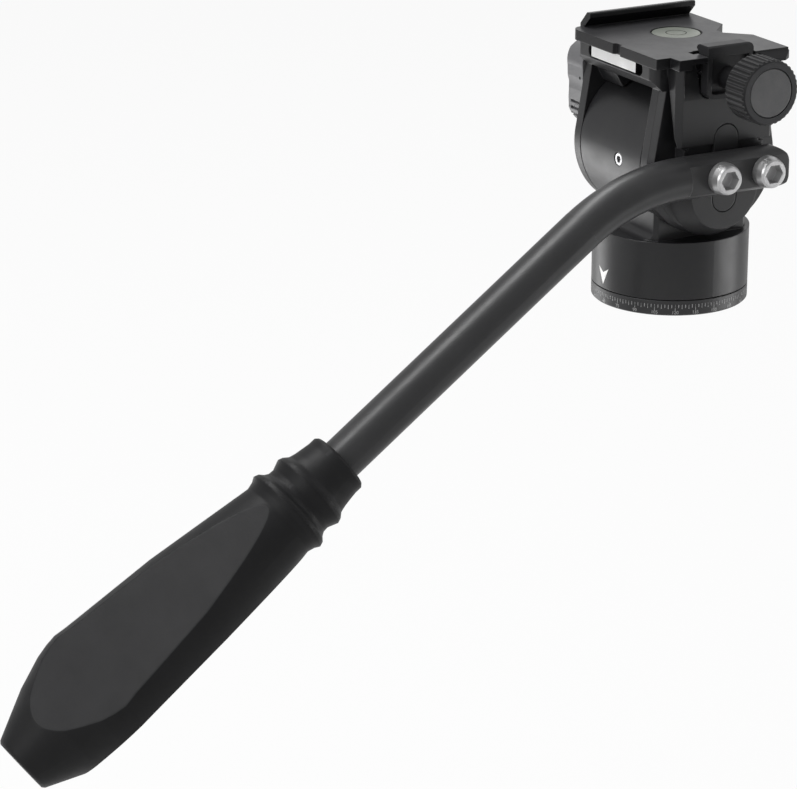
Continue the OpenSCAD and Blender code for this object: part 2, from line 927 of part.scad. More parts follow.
// Nose on the plate's right edge behind the jaw, bevelled from above
module plate_nose() {
    end = plate_back - blend;
    intersection() {
        translate([0, end, plate_z])
            rotate([90, 0, 0])
                linear_extrude(end - nose_start)
                    polygon([[plate_right - over, -plate_t + blend], [plate_right - over, -0.5], [plate_right, -0.5],
                             [plate_right + nose_out, -2.2], [plate_right + nose_out, -plate_t + blend]]);
        translate([0, 0, plate_under - over])
            linear_extrude(plate_t + 2 * over)
                polygon([[plate_right - over, nose_start], [plate_right, nose_start],
                         [plate_right + nose_out, nose_start + 4], [plate_right + nose_out, end - 2.4],
                         [plate_right + nose_out - 2, end], [plate_right - over, end]]);
    }
}

// Cross-section in XZ of the fixed jaw, above the plate's top
fixed_front = -19.2;
fixed_back = 16.3;
fixed_chamfer = 3.7;

module fixed_jaw_outline() {
    root = jaw_slope_z;
    polygon([[plate_left, -over], [fixed_root, -over], [fixed_root, root],
             [fixed_root + undercut, root + undercut], [fixed_root + undercut, jaw_h - 0.3],
             [fixed_root + undercut - 0.3, jaw_h], [fixed_root + 1.3, jaw_h],
             [plate_left, jaw_h - fixed_chamfer]]);
}

// Clamp plate with its lip and the fixed jaw
module clamp_plate() {
    color("#505052")
        difference() {
            union() {
                translate([0, 0, plate_under])
                    linear_extrude(plate_t)
                        plate_outline();
                translate([0, fixed_back, plate_z])
                    rotate([90, 0, 0])
                        linear_extrude(fixed_back - fixed_front)
                            fixed_jaw_outline();
                plate_nose();
            }
            jaw_channel();
            side_undercut();
            // Slot ends in front of and behind the jaw
            block([jaw_tip - 1.3, clamp_y - jaw_l / 2 - 2, plate_under - over],
                  [jaw_tip + 1.3, clamp_y + jaw_l / 2 + 2, plate_z + over]);
            translate([0, 0, plate_z - level_h])
                cylinder(h = level_h + over, r = level_d / 2 + seat);
            plate_screw_places()
                translate([0, 0, -over])
                    cylinder(h = plate_screw_bite + over, r = plate_screw_r + seat);
        }
}

// Spirit level: a cup that is sunk in the plate, and its vial
level_h = plate_t - 0.6;
level_wall = 0.35;
level_floor = 0.8;

module level_cup() {
    color("#8e948a")
        translate([0, 0, plate_z - level_h])
            difference() {
                cylinder(h = level_h - seat, r = level_d / 2);
                translate([0, 0, level_floor])
                    cylinder(h = level_h, r = level_d / 2 - level_wall);
            }
}

module level_vial() {
    color("#cfe0c0")
        translate([0, 0, plate_z - level_h + level_floor])
            broken_disc(level_d / 2 - level_wall - seat, level_h - level_floor - 2 * seat, 0.15);
}

// Pale strip in the slot under the lip
module front_strip() {
    color("#e2e2e2")
        block([strip_x0, web_front + 0.2, strip_mid - strip_h / 2],
              [strip_x1, web_front + slot_deep - seat, strip_mid + strip_h / 2]);
}

// Tilt axle through drum and cheeks
module tilt_axle() {
    color("#b8b8ba") {
        rod_x(left_out, cheek_in - seat, axle_r);
        rod_x(0, flange_out + 0.4, spigot_r);
    }
}

// Round cover over the axle's left end
module axle_cover() {
    color("#2a2a2c")
        translate([left_out, 0, tilt_z])
            rotate([0, -90, 0])
                difference() {
                    broken_disc(axle_r + 4.2, 2, 0.6);
                    for (a = [0, 180])
                        rotate(a)
                            translate([axle_r + 1.6, 0, 0.8])
                                cylinder(h = 2, r = 1.1);
                }
}

// Shoe that the lock cam presses on the drum
module tilt_brake_shoe() {
    color("#8c7a4a")
        shoe_shape(shoe_x0, shoe_x1, shoe_in, shoe_out, shoe_half_w);
}

// Outline of the saddle: a tall slot shape
saddle_r = 3.85;
saddle_h = 12.5;
saddle_x = flange_out + 1;
saddle_drop = 0.4;

module saddle_outline(r, h) {
    translate([0, -saddle_drop])
        rotate(90)
            round_slot(-h, h, r);
}

// Saddle let into the cheek: it locates the round bar
module handle_saddle() {
    color("#343436")
        difference() {
            along_x(saddle_x + seat, block_out)
                saddle_outline(saddle_r, saddle_h);
            rod_y(-block_side, block_side, bar_r + seat);
        }
}

// Round bar along Y at the handle's place
module rod_y(y0, y1, r) {
    translate([bar_x, y0, tilt_z])
        rotate([-90, 0, 0])
            cylinder(h = y1 - y0, r = r);
}

bar_l_through = bar_r + flat_off;

// Moves a part that lies along -Z from the bend's end to the straight run of the bar
module along_run(s) {
    translate([bar_x, -bend_start, tilt_z - bend_r])
        rotate([bar_slope, 0, 0])
            translate([0, -s, bend_r])
                rotate([90, 0, 0])
                    children();
}

bar_in_grip = 60;

// Handle bar: a straight tail with a milled flat, one bend and a long straight run
module handle_bar() {
    lap = 0.6;
    color("#2c2c2e")
        difference() {
            union() {
                rod_y(-bend_start - lap, bar_tail, bar_r);
                translate([bar_x, -bend_start, tilt_z - bend_r])
                    rotate([90, 0, 90])
                        rotate([0, 0, 90])
                            rotate_extrude(angle = bar_slope)
                                translate([bend_r, 0])
                                    circle(bar_r - blend);
                along_run(-lap)
                    cylinder(h = lap + bar_run + bar_in_grip, r = bar_r);
            }
            block([flat_x, -bend_start, tilt_z - bar_d], [flat_x + bar_d, bar_tail + over, tilt_z + bar_d]);
            for (s = [-1, 1])
                rod_x(0, flat_x + over, bolt_r + 2 * seat, s * bolt_pitch / 2);
            // Round corners at the tail
            along_tail_corner(1, 4.4);
            along_tail_corner(-1, 4);
        }
}

// Corner of the tail to cut away, s is 1 above and -1 below
module along_tail_corner(s, r) {
    translate([bar_x - bar_d, bar_tail - r, tilt_z + s * (bar_r - r)])
        rotate([90, 0, 90])
            linear_extrude(2 * bar_d)
                difference() {
                    translate([0, s > 0 ? 0 : -r - over])
                        square([r + over, r + over]);
                    circle(r);
                }
}

// Two socket screws that hold the bar on the cheek
module handle_bolts() {
    color("#c4c4c6")
        for (s = [-1, 1])
            translate([flat_x, s * bolt_pitch / 2, tilt_z])
                rotate([0, 90, 0])
                    difference() {
                        union() {
                            translate([0, 0, -bar_l_through - bolt_deep + 0.5])
                                cylinder(h = bar_l_through + bolt_deep, r = bolt_r);
                            rotate_extrude()
                                polygon([[0, 0], [bolt_head_r, 0], [bolt_head_r, bolt_head_h * 0.42],
                                         [bolt_head_r - 0.45, bolt_head_h - 0.5],
                                         [bolt_head_r - 0.8, bolt_head_h], [0, bolt_head_h]]);
                        }
                        translate([0, 0, bolt_head_h])
                            rotate(30)
                                hex_socket(hex_bolt, 3);
                    }
}

// Half section of the grip along its axis, from its front to its end
ridge_1 = 11.2;
ridge_2 = 19;
groove_1 = 14.6;
neck_s = 22.4;
flat_s = neck_s + 0.5;
flat_near = neck_r + 0.3;

module grip_section() {
    polygon([[0, -0.5], [collar_r - 0.6, -0.5], [collar_r, 0.2], [collar_r, 2.2], [collar_r + 0.6, 6.6],
             [collar_r + 1.1, 8.6], [collar_r + 2.2, ridge_1 - 1.2], [collar_r + 2.6, ridge_1],
             [collar_r + 1.9, groove_1 - 1.6], [neck_r - 0.8, groove_1 - 0.6], [neck_r - 0.7, groove_1 + 1],
             [neck_r, ridge_2 - 2.2], [neck_r + 1.1, ridge_2 - 1.2], [neck_r + 1.5, ridge_2],
             [neck_r + 0.7, ridge_2 + 1.4], [neck_r + 0.2, neck_s],
             [neck_r + 2.4, neck_s + 16], [(neck_r + grip_r) / 2 + 0.9, (neck_s + grip_swell) / 2],
             [grip_r - 0.5, grip_swell - 4],
             [grip_r, grip_swell], [grip_r - 0.3, grip_swell + 3], [grip_r - 1.1, grip_swell + 7],
             [(grip_r + grip_end_r) / 2 + 1, (grip_swell + grip_l) / 2 + 1],
             [grip_end_r, grip_l - 0.6], [grip_end_r - 0.7, grip_l], [0, grip_l]]);
}

// Grip: a turned form with three flats, on the end of the bar
module grip() {
    flat_angle = atan2(flat_far - flat_near, grip_l - flat_s);
    color("#232325")
        along_run(bar_run)
            difference() {
                rotate_extrude()
                    grip_section();
                translate([0, 0, -over])
                    cylinder(h = bar_in_grip + seat + over, r = bar_r + seat);
                for (a = [0, 120, 240])
                    rotate(flat_turn + a)
                        translate([flat_near, 0, flat_s])
                            rotate([0, flat_angle, 0])
                                block([0, -grip_l, 0], [grip_l, grip_l, 2 * grip_l]);
            }
}

// Cross-section in XZ of the movable jaw, above the plate's top
module jaw_head_outline() {
    tip_z = movable_h - 1.25;
    polygon([[jaw_root, -plate_t], [jaw_root, tip_z - jaw_under], [jaw_tip, tip_z], [jaw_tip, tip_z + 0.3],
             [jaw_tip + 0.45, tip_z + 0.9], [jaw_tip + 1.4, movable_h], [flange_face - 0.4, movable_h],
             [flange_face, movable_h - 0.4], [flange_face, -plate_t]]);
}

// Movable jaw with the flange that the clamp screw draws on
module movable_jaw() {
    rim = 1.4;
    y0 = clamp_y - jaw_l / 2;
    y1 = clamp_y + jaw_l / 2;
    foot = flange_foot - tilt_z;
    top = plate_z - tilt_z - 0.4;
    end_r = 1.8;
    color("#333335")
        difference() {
            union() {
                translate([0, y1, plate_z])
                    rotate([90, 0, 0])
                        linear_extrude(jaw_l)
                            jaw_head_outline();
                along_x(flange_in, flange_face)
                    flange_outline(y0, foot, jaw_l, jaw_corner, top);
            }
            along_x(flange_face - jaw_dish, flange_face + over)
                flange_outline(y0 + rim, foot + rim, jaw_l - 2 * rim, jaw_corner - rim, top);
            // Round top corner at the far end
            along_x(jaw_tip - over, flange_face + over)
                translate([y1 - end_r, plate_z + movable_h - tilt_z - end_r])
                    difference() {
                        square(end_r + over);
                        circle(end_r);
                    }
            rod_x(flange_in - over, flange_face + over, screw_r + run_fit, clamp_y, clamp_z);
            for (s = [-1, 1])
                rod_x(flange_in - over, flange_in + 1.6, pin_r + seat, clamp_y + s * pin_off, clamp_z);
        }
}

// Flange outline in YZ with round lower corners
module flange_outline(y0, foot, w, r, top) {
    translate([y0, foot + r])
        square([w, top - foot - r]);
    translate([y0 + r, foot])
        square([w - 2 * r, 2 * r]);
    for (y = [y0 + r, y0 + w - r])
        translate([y, foot + r])
            circle(r);
}

clamp_tip = channel_in - 9;
pin_tip = channel_in - 6.5;

// Two pins that guide the jaw in the yoke
module jaw_guide_pins() {
    color("#b8b8ba")
        for (s = [-1, 1])
            rod_x(pin_tip, flange_in + 1.5, pin_r, clamp_y + s * pin_off, clamp_z);
}

// Clamp knob with its hub
knob_back = flange_face + knob_standoff;
knob_face = knob_back + knob_t;
cap_r = knob_d / 2 - 2.4;
cap_t = 1.2;
hub_knob_r = 3.2;

module clamp_knob() {
    color("#3a3a3c")
        difference() {
            union() {
                rod_x(flange_face - jaw_dish + gap, knob_back + over, hub_knob_r, clamp_y, clamp_z);
                translate([knob_back, clamp_y, clamp_z])
                    rotate([0, 90, 0])
                        grooved_knob(knob_d / 2, knob_t, knob_grooves, 0.6, 0.7);
            }
            rod_x(0, knob_face - cap_t - 1.5, screw_r + seat, clamp_y, clamp_z);
            rod_x(knob_face - cap_t, knob_face + over, cap_r + seat, clamp_y, clamp_z);
            rod_x(knob_face - seam_deep, knob_face + over, cap_r + seam_w, clamp_y, clamp_z);
        }
}

// Screw that the knob turns
module clamp_stud() {
    color("#b8b8ba")
        rod_x(clamp_tip, knob_face - cap_t - 1.5 - seat, screw_r, clamp_y, clamp_z);
}

// Inset cap on the knob's face
module knob_cap() {
    color("#4a4a4c")
        translate([knob_face - cap_t, clamp_y, clamp_z])
            rotate([0, 90, 0])
                broken_disc(cap_r, cap_t, 0.15);
}

// Side outline of the lock lever: a hub, a waist and a rounded end
lever_x1 = left_out - gap;
lever_x0 = lever_x1 - lever_t;
lever_end_y = -1.6;
lever_waist = 0.5;

module lever_outline() {
    end_z = -lever_drop;
    difference() {
        union() {
            circle(lever_hub_r);
            translate([lever_end_y, end_z])
                circle(lever_end_r);
            polygon([[0, 1], [-lever_hub_r + 2 * blend, 0], [lever_end_y - lever_end_r + 2 * blend, end_z],
                     [lever_end_y, end_z - 1], [lever_end_y + lever_end_r - 2 * blend, end_z],
                     [lever_hub_r - 0.8, -2]]);
        }
        waist_r = lever_drop * 1.2;
        translate([-lever_hub_r - waist_r + lever_waist * 0.9, end_z * 0.5])
            circle(waist_r);
    }
}

// Front outline of the lock lever in XZ: a bevelled top, a waist and a rounded foot
module lever_front_outline() {
    foot = -lever_drop - lever_end_r - 0.4;
    head = lever_hub_r + 0.4;
    polygon([[over, head], [-lever_t * 0.78, head], [-lever_t - over, 1.6], [-lever_t - over, -2.2],
             [-lever_t + lever_waist, -lever_drop * 0.45], [-lever_t + lever_waist, -lever_drop * 0.62],
             [-lever_t + lever_waist * 0.4, -lever_drop * 0.8], [-lever_t + lever_waist * 0.6, -lever_drop],
             [-lever_t * 0.68, foot + 1.4], [-lever_t * 0.48, foot], [over, foot]]);
}

// Tilt lock lever with grip grooves near its end
module tilt_lock_lever() {
    grooves = 3;
    pitch = 1.9;
    groove_w = 0.8;
    groove_deep = 0.8;
    color("#5a5a5c")
        difference() {
            intersection() {
                translate([lever_x0, lever_y, lever_z])
                    rotate([90, 0, 90])
                        linear_extrude(lever_t)
                            lever_outline();
                translate([lever_x1, lever_y + 2 * lever_hub_r, lever_z])
                    rotate([90, 0, 0])
                        linear_extrude(4 * lever_hub_r)
                            lever_front_outline();
            }
            for (i = [0 : grooves - 1])
                block([lever_x0 + 1.5, lever_y - 2 * lever_hub_r, lever_z - lever_drop + 1.7 - i * pitch],
                      [lever_x1 - 1.5, lever_y + lever_end_y - lever_end_r + groove_deep,
                       lever_z - lever_drop + 1.7 - i * pitch + groove_w]);
            rod_x(lever_x0 + 3, lever_x1 + over, cam_r + seat, lever_y, lever_z);
        }
}

// Cam shaft that the lever turns
module tilt_lock_cam() {
    color("#b8b8ba")
        rod_x(lever_x0 + 3 + seat, boss_x1 - 1.5 - gap, cam_r, lever_y, lever_z);
}

base_plate();
thread_insert();
pan_drag_plate();
pan_retainer();
pan_retainer_screw();
pan_housing();
pan_drag_ring();
pan_bush();
pan_brake_shoe();
drum_cover();
drum_cover_screws();
drum_set_screw();
tilt_bush_left();
tilt_bush_right();
tilt_drag_stators();
pan_lock_knob();
pan_lock_stud();
tilt_yoke();
clamp_plate();
plate_screws();
level_cup();
level_vial();
front_strip();
tilt_axle();
axle_cover();
tilt_drag_rotors();
tilt_brake_shoe();
handle_saddle();
handle_bar();
handle_bolts();
grip();
movable_jaw();
jaw_guide_pins();
clamp_knob();
clamp_stud();
knob_cap();
tilt_lock_lever();
tilt_lock_cam();
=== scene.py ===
import math

import bpy
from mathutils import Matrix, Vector


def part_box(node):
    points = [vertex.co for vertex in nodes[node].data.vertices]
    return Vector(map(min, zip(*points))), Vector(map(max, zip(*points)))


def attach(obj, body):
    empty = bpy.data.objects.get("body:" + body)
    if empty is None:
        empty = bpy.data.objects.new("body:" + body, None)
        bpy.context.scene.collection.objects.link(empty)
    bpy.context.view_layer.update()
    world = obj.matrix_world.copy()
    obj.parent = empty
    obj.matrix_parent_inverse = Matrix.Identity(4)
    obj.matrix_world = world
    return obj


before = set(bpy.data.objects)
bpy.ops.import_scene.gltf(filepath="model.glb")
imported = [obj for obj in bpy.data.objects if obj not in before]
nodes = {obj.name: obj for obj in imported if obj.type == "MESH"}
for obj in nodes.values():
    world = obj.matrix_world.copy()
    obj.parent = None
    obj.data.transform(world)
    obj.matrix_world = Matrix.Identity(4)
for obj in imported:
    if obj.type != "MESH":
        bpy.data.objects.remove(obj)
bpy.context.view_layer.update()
mm = 0.001
print("video head: frame loaded,", len(nodes), "nodes")


def pickNone():
    bpy.ops.object.select_all(action="DESELECT")


# camera at the viewing angle of the picture
shot = {"place": (0.757643, -0.501871, 0.284030), "pitch": 90 - 19.2045, "turn": 61.4187,
        "lens": 147.931, "sensor": 36, "near": 0.05, "far": 20}

pickNone()
bpy.ops.object.camera_add(location=shot["place"],
                          rotation=(math.radians(shot["pitch"]), 0, math.radians(shot["turn"])))
camera = bpy.context.object
camera.name = "shotCamera"
camera.data.lens = shot["lens"]
camera.data.sensor_width = shot["sensor"]
camera.data.sensor_fit = "HORIZONTAL"
camera.data.clip_start = shot["near"]
camera.data.clip_end = shot["far"]
camera.data.dof.use_dof = False
bpy.context.scene.camera = camera
bpy.context.scene.view_settings.view_transform = "Standard"
print("camera placed")


# colours are written as screen values, 0 to 255
def tone(*values):
    linear = [(v / 255) / 12.92 if v <= 10 else ((v / 255 + 0.055) / 1.055) ** 2.4 for v in values]
    return (*linear, 1)


def emptyFinish(name):
    finish = bpy.data.materials.new(name)
    finish.use_nodes = True
    tree = finish.node_tree
    tree.nodes.clear()
    out = tree.nodes.new("ShaderNodeOutputMaterial")
    return finish, tree, out


def addNode(tree, kind, **settings):
    node = tree.nodes.new(kind)
    for key, value in settings.items():
        setattr(node, key, value)
    return node


def join(tree, source, target):
    tree.links.new(source, target)


# a socket is joined, anything else is set
def fill(tree, sockets, values):
    for socket, value in zip(sockets, values):
        if isinstance(value, bpy.types.NodeSocket):
            join(tree, value, socket)
        else:
            socket.default_value = value


def calc(tree, operation, *values):
    node = addNode(tree, "ShaderNodeMath", operation=operation)
    fill(tree, node.inputs, values)
    return node.outputs[0]


def vectorCalc(tree, operation, output, *values):
    node = addNode(tree, "ShaderNodeVectorMath", operation=operation)
    fill(tree, node.inputs, values)
    return node.outputs[output]


def shaderFinish(name):
    finish, tree, out = emptyFinish(name)
    shader = addNode(tree, "ShaderNodeBsdfPrincipled")
    join(tree, shader.outputs["BSDF"], out.inputs["Surface"])
    coords = addNode(tree, "ShaderNodeTexCoord")
    return finish, tree, shader, coords


def grainNoise(tree, coords, scale, detail, rough):
    noise = addNode(tree, "ShaderNodeTexNoise")
    noise.inputs["Scale"].default_value = scale
    noise.inputs["Detail"].default_value = detail
    noise.inputs["Roughness"].default_value = rough
    join(tree, coords.outputs["Object"], noise.inputs["Vector"])
    return noise.outputs["Fac"]


# the part of a noise's range that it mostly keeps to
noiseEnds = (0.3, 0.7)


def span(tree, source, low, high, ends=noiseEnds):
    ranger = addNode(tree, "ShaderNodeMapRange")
    ranger.inputs["From Min"].default_value = ends[0]
    ranger.inputs["From Max"].default_value = ends[1]
    ranger.inputs["To Min"].default_value = low
    ranger.inputs["To Max"].default_value = high
    join(tree, source, ranger.inputs["Value"])
    return ranger.outputs["Result"]


def shades(tree, source, dark, light):
    ramp = addNode(tree, "ShaderNodeValToRGB")
    for element, place, colour in zip(ramp.color_ramp.elements, noiseEnds, (dark, light)):
        element.position = place
        element.color = colour
    join(tree, source, ramp.inputs["Fac"])
    return ramp.outputs["Color"]


# the mix node keeps its colours in sockets 6 and 7
def blendColours(tree, amount, first, second):
    mixer = addNode(tree, "ShaderNodeMix", data_type="RGBA")
    fill(tree, (mixer.inputs[0], mixer.inputs[6], mixer.inputs[7]), (amount, first, second))
    return mixer.outputs[2]


def aroundCentre(tree, coords, centre):
    mapping = addNode(tree, "ShaderNodeMapping")
    mapping.inputs["Location"].default_value = [-v for v in centre]
    join(tree, coords.outputs["Object"], mapping.inputs["Vector"])
    return mapping.outputs["Vector"]


def swingRoughness(tree, shader, source, look, ends=noiseEnds):
    low, high = look["rough"] - look["swing"], look["rough"] + look["swing"]
    join(tree, span(tree, source, low, high, ends), shader.inputs["Roughness"])


def addBump(tree, shader, height, look, normal=None):
    bump = addNode(tree, "ShaderNodeBump")
    bump.inputs["Strength"].default_value = look["bump"]
    bump.inputs["Distance"].default_value = look["depth"]
    join(tree, height, bump.inputs["Height"])
    if normal is not None:
        join(tree, normal, bump.inputs["Normal"])
    join(tree, bump.outputs["Normal"], shader.inputs["Normal"])


# edges rounded off in the shading only
edgeSamples = 6


def roundedNormal(tree, radius):
    bevel = addNode(tree, "ShaderNodeBevel", samples=edgeSamples)
    bevel.inputs["Radius"].default_value = radius
    return bevel.outputs["Normal"]


# what the satin finishes share: each noise has its scale, detail and roughness
satin = {"ior": 1.5, "specular": 0.5, "cloud": (70, 4, 0.6), "smear": (150, 5, 0.65),
         "wearAndGlintNoise": (420, 5, 0.7), "wearAndGlintEnds": (0.4, 0.62), "speck": (2, 0.6),
         "edgeEnds": (0.72, 0.985), "flatEnds": (0.9975, 0.9993), "sideSteps": 40}


# worn edges, and on the grooved knob painted edge highlights: where the rounded normal leaves the flat one
def edgeMask(tree, rounded):
    geometry = addNode(tree, "ShaderNodeNewGeometry")
    dot = vectorCalc(tree, "DOT_PRODUCT", "Value", rounded, geometry.outputs["Normal"])
    return span(tree, dot, 1, 0, satin["edgeEnds"])


# the widest flat sides of a piece, by the area that shares a direction
def flatSides(obj, count):
    sums = {}
    for face in obj.data.polygons:
        key = tuple(round(v * satin["sideSteps"]) for v in face.normal)
        sums[key] = sums.get(key, Vector()) + face.normal * face.area
    widest = sorted(sums.values(), key=lambda v: v.length, reverse=True)
    return [side.normalized() for side in widest[:count]]


# white on the flat sides, black elsewhere
def flatMask(tree, coords, sides):
    mask = None
    for side in sides:
        dot = vectorCalc(tree, "DOT_PRODUCT", "Value", coords.outputs["Normal"], side)
        part = span(tree, dot, 0, 1, satin["flatEnds"])
        mask = part if mask is None else calc(tree, "MAXIMUM", mask, part)
    return mask


# mask for the painted groove shade: black at the bottom of a knob's grooves, white at its full radius and on
# its front
def outward(tree, coords, look):
    place = aroundCentre(tree, coords, look["centre"])
    across = vectorCalc(tree, "MULTIPLY", "Vector", place, (0, 1, 1))
    reach = vectorCalc(tree, "LENGTH", "Value", across)
    rim = span(tree, reach, 0, 1, look["reach"])
    inner = span(tree, reach, 1, 0, look["inner"])
    facing = addNode(tree, "ShaderNodeSeparateXYZ")
    join(tree, coords.outputs["Normal"], facing.inputs[0])
    front = span(tree, facing.outputs["X"], 0, 1, look["front"])
    return calc(tree, "MAXIMUM", front, calc(tree, "MAXIMUM", rim, inner))


# one satin finish, told apart by its numbers
def satinFinish(name, look, flats=()):
    finish, tree, shader, coords = shaderFinish(name)
    shader.inputs["Metallic"].default_value = look.get("metal", 0)
    shader.inputs["IOR"].default_value = satin["ior"]
    shader.inputs["Specular IOR Level"].default_value = look.get("specular", satin["specular"])

    cloud = grainNoise(tree, coords, *satin["cloud"])
    colour = shades(tree, cloud, look["dark"], look["light"])
    # flat sides in their own colour: painted sheen on the plate's top and the grip's flats, the knob's
    # lighter front, the strip's pale front
    if flats:
        flatColour = shades(tree, cloud, look["flatDark"], look["flatLight"])
        colour = blendColours(tree, flatMask(tree, coords, flats), colour, flatColour)
    # painted shade darkens the bottom of the knob's grooves
    if "grooveShade" in look:
        colour = blendColours(tree, outward(tree, coords, look), look["grooveShade"], colour)
    rounded = roundedNormal(tree, look["edge"])
    # lighter edges: wear, and on the grooved knob a painted highlight
    if "edgeWearAndGlint" in look:
        wearAndGlintNoise = span(tree, grainNoise(tree, coords, *satin["wearAndGlintNoise"]), 0, look["wearAndGlintAmount"], satin["wearAndGlintEnds"])
        wearAndGlintPart = calc(tree, "MULTIPLY", edgeMask(tree, rounded), wearAndGlintNoise)
        colour = blendColours(tree, wearAndGlintPart, colour, look["edgeWearAndGlint"])
    join(tree, colour, shader.inputs["Base Color"])

    swingRoughness(tree, shader, grainNoise(tree, coords, *satin["smear"]), look)
    addBump(tree, shader, grainNoise(tree, coords, look["speck"], *satin["speck"]), look, rounded)
    return finish


castLook = {"dark": tone(29, 29, 31), "light": tone(36, 36, 37), "edgeWearAndGlint": tone(86, 86, 88), "wearAndGlintAmount": 0.35,
            "rough": 0.36, "swing": 0.05, "speck": 2100, "bump": 0.22, "depth": 0.025 * mm,
            "edge": 0.4 * mm, "specular": 0.36}
ringLook = {"dark": tone(38, 38, 40), "light": tone(45, 45, 46), "edgeWearAndGlint": tone(96, 96, 98), "wearAndGlintAmount": 0.3,
            "rough": 0.4, "swing": 0.05, "speck": 2600, "bump": 0.16, "depth": 0.02 * mm,
            "edge": 0.3 * mm, "specular": 0.4}
# clamp plate: its top face painted lighter as a painted sheen
plateLook = {"dark": tone(20, 20, 22), "light": tone(26, 26, 27), "edgeWearAndGlint": tone(110, 110, 112), "wearAndGlintAmount": 0.35,
             "rough": 0.34, "swing": 0.04, "speck": 3200, "bump": 0.2, "depth": 0.02 * mm,
             "edge": 0.3 * mm, "specular": 0.2, "flatDark": tone(44, 44, 46), "flatLight": tone(53, 53, 54)}
jawLook = {"dark": tone(35, 35, 37), "light": tone(42, 42, 43), "edgeWearAndGlint": tone(110, 110, 112), "wearAndGlintAmount": 0.4,
           "rough": 0.4, "swing": 0.04, "speck": 3000, "bump": 0.2, "depth": 0.02 * mm,
           "edge": 0.3 * mm, "specular": 0.2}
barLook = {"dark": tone(39, 39, 40), "light": tone(45, 45, 46), "edgeWearAndGlint": tone(84, 84, 86), "wearAndGlintAmount": 0.3,
           "rough": 0.36, "swing": 0.05, "speck": 2600, "bump": 0.16, "depth": 0.02 * mm,
           "edge": 0.4 * mm, "specular": 0.36}
knobLook = {"dark": tone(34, 34, 36), "light": tone(41, 41, 42), "edgeWearAndGlint": tone(84, 84, 86), "wearAndGlintAmount": 0.35,
            "rough": 0.44, "swing": 0.05, "speck": 2400, "bump": 0.3, "depth": 0.03 * mm,
            "edge": 0.3 * mm, "specular": 0.4}
# grooved knob: painted shade in its grooves, painted highlights along its ridge edges, a lighter front face
gripKnobLook = dict(knobLook, dark=tone(22, 22, 24), light=tone(28, 28, 29), specular=0.2,
                    flatDark=tone(53, 53, 55), flatLight=tone(60, 60, 61),
                    edgeWearAndGlint=tone(118, 118, 120), wearAndGlintAmount=0.6, edge=0.16 * mm, grooveShade=tone(4, 4, 4),
                    centre=(0.0446, -0.0013, 0.06995), reach=(8.5 * mm, 9.0 * mm),
                    inner=(8.2 * mm, 8.4 * mm), front=(0.2, 0.5))
leverLook = {"dark": tone(90, 90, 92), "light": tone(100, 100, 101), "edgeWearAndGlint": tone(130, 130, 132), "wearAndGlintAmount": 0.3,
             "rough": 0.42, "swing": 0.05, "speck": 2400, "bump": 0.25, "depth": 0.03 * mm,
             "edge": 0.4 * mm}
# grip rubber: its three widest flats painted lighter as a painted sheen
gripLook = {"dark": tone(20, 20, 21), "light": tone(26, 26, 27), "rough": 0.48, "swing": 0.06,
            "speck": 1500, "bump": 0.35, "depth": 0.05 * mm, "edge": 0.9 * mm, "specular": 0.16,
            "flatDark": tone(35, 35, 36), "flatLight": tone(40, 40, 41)}
steelLook = {"dark": tone(176, 177, 180), "light": tone(200, 200, 203), "rough": 0.24, "swing": 0.06,
             "metal": 1, "speck": 2600, "bump": 0.08, "depth": 0.01 * mm, "edge": 0.25 * mm}
boltLook = {"dark": tone(168, 168, 169), "light": tone(188, 188, 188), "rough": 0.31, "swing": 0.03,
            "metal": 0.75, "speck": 2600, "bump": 0.03, "depth": 0.01 * mm, "edge": 0.24 * mm}
brightLook = {"dark": tone(180, 180, 182), "light": tone(200, 200, 201), "rough": 0.28, "swing": 0.05,
              "metal": 1, "speck": 2600, "bump": 0.06, "depth": 0.01 * mm, "edge": 0.3 * mm}
bronzeLook = {"dark": tone(140, 104, 62), "light": tone(170, 130, 80), "rough": 0.34, "swing": 0.06,
              "metal": 1, "speck": 2200, "bump": 0.12, "depth": 0.02 * mm, "edge": 0.2 * mm}
frictionLook = {"dark": tone(84, 74, 62), "light": tone(112, 100, 86), "rough": 0.78, "swing": 0.08,
                "speck": 1400, "bump": 0.5, "depth": 0.08 * mm, "edge": 0.2 * mm}
cupLook = {"dark": tone(8, 8, 8), "light": tone(13, 13, 13), "rough": 0.5, "swing": 0.05,
           "speck": 2400, "bump": 0.15, "depth": 0.02 * mm, "edge": 0.1 * mm, "specular": 0.08}
# pale strip: pale on its front face, its ends and sides painted near black as the slot's painted shade
stripLook = {"dark": tone(18, 18, 19), "light": tone(24, 24, 25), "rough": 0.42, "swing": 0.06,
             "speck": 2600, "bump": 0.12, "depth": 0.015 * mm, "edge": 0.2 * mm,
             "flatDark": tone(228, 228, 228), "flatLight": tone(236, 236, 235)}
inkLook = {"dark": tone(236, 236, 234), "light": tone(248, 248, 246), "rough": 0.5, "swing": 0.08,
           "speck": 5200, "bump": 0.2, "depth": 0.01 * mm, "edge": 0.05 * mm}
scaleInkLook = dict(inkLook, dark=tone(164, 164, 164), light=tone(186, 186, 186))

castFinish = satinFinish("castSatinBlack", castLook)
ringFinish = satinFinish("anodisedRing", ringLook)
# painted sheen on the plate's top face
plateFinish = satinFinish("plateSheenTopBlack", plateLook, [Vector((0, 0, 1))])
jawFinish = satinFinish("anodisedJaw", jawLook)
barFinish = satinFinish("paintedTube", barLook)
knobFinish = satinFinish("mouldedKnob", knobLook)
gripKnobFinish = satinFinish("groovedKnob", gripKnobLook, [Vector((1, 0, 0))])
leverFinish = satinFinish("mouldedLever", leverLook)
